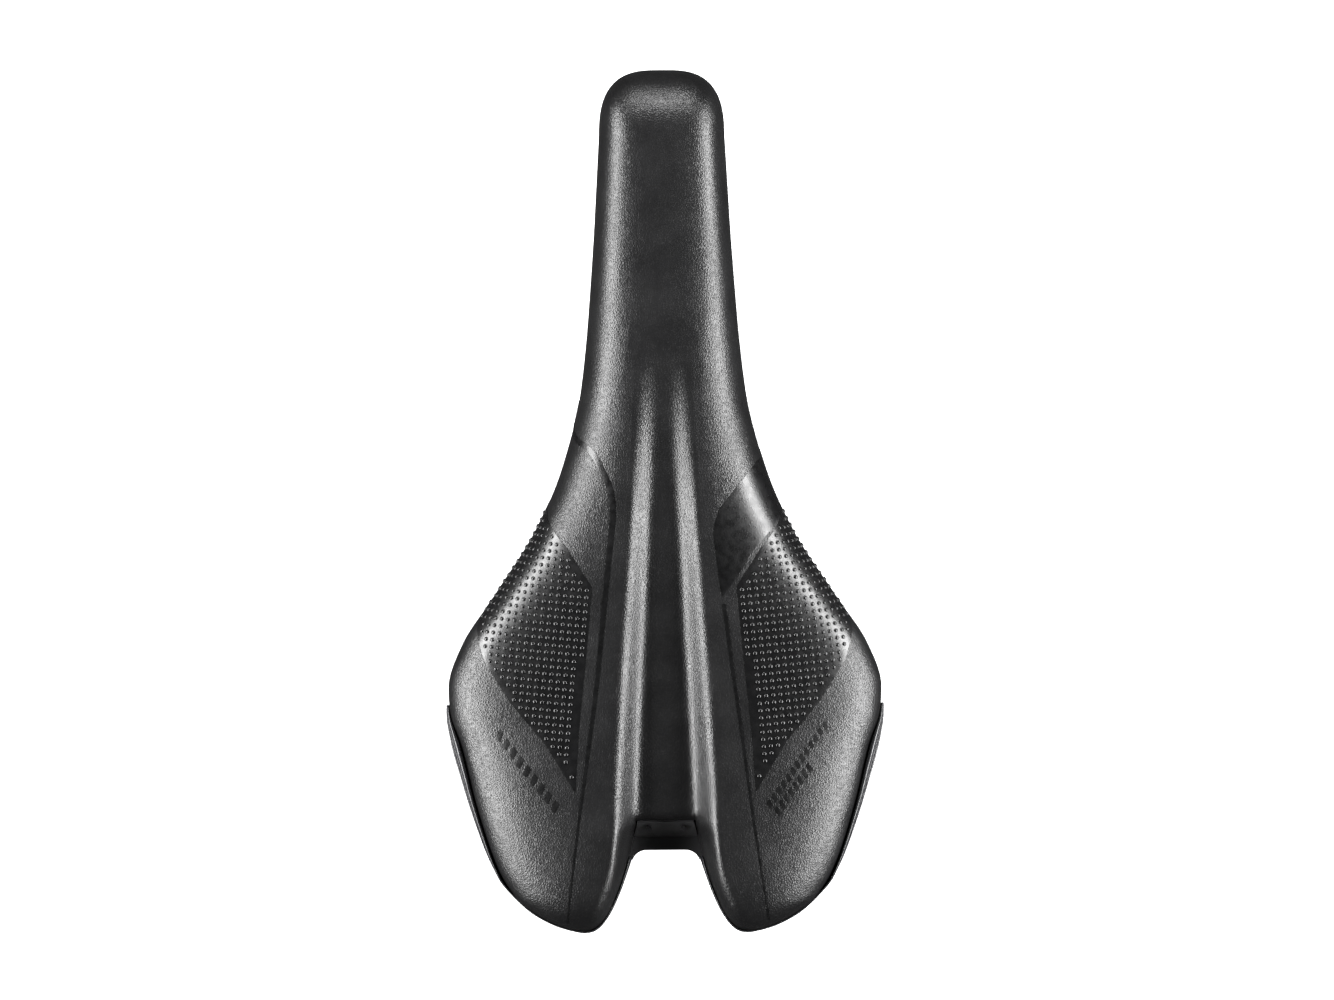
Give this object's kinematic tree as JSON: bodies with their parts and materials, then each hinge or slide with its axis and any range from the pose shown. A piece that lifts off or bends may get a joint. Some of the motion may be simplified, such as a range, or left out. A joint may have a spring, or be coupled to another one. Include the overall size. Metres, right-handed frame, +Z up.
{
  "type": "bicycle saddle",
  "caption": "Bicycle saddle: black padded cover with a central channel and split tail on a moulded shell, carried by two steel rails for a seat post clamp.",
  "frame": {"origin": "midway between the two rails' centrelines, in the middle of the straight stretch that a seat post clamps", "axes": "+Y forwards to the nose, +X to the rider's right, +Z up"},
  "size_m": [0.1392, 0.2744, 0.0541],
  "materials": {
    "cover_leather": "fine pebble-grained black synthetic leather, satin",
    "pu_foam": "self-skinned polyurethane foam",
    "gel": "soft clear-tinted gel",
    "shell_plastic": "glass-filled nylon, moulded satin texture",
    "guard_plastic": "gloss black",
    "grip_film": "gloss black film with raised dots",
    "gloss_film": "smooth gloss black film",
    "rail_steel": "satin stainless steel",
    "fitting_plastic": "black nylon",
    "slot_cover_plastic": "soft black plastic",
    "screw_steel": "black-zinc steel",
    "insert_brass": "knurled brass"
  },
  "bodies": {
    "saddle": {"cover": "cover_leather", "foam_pad": "pu_foam", "left_gel_insert": "gel", "right_gel_insert": "gel", "base_shell": "shell_plastic", "left_edge_guard": "guard_plastic", "right_edge_guard": "guard_plastic", "left_grip_patch": "grip_film", "right_grip_patch": "grip_film", "left_accent_strip": "gloss_film", "right_accent_strip": "gloss_film", "right_gloss_panel": "gloss_film", "left_rail": "rail_steel", "right_rail": "rail_steel", "nose_clamp_plate": "fitting_plastic", "nose_clamp_screws": "screw_steel", "nose_threaded_inserts": "insert_brass", "left_rear_rail_block": "fitting_plastic", "right_rear_rail_block": "fitting_plastic", "rear_block_screws": "screw_steel", "accessory_socket": "fitting_plastic", "accessory_socket_screws": "screw_steel", "bridge_pins": "screw_steel"},
    "slot_cover": {"accessory_slot_cover": "slot_cover_plastic"}
  },
  "joints": [
    {"name": "slot_cover_slide", "type": "slide", "parent": "saddle", "child": "slot_cover", "axis": [0, -1, 0], "range_m": [0, 0.03]}
  ]
}
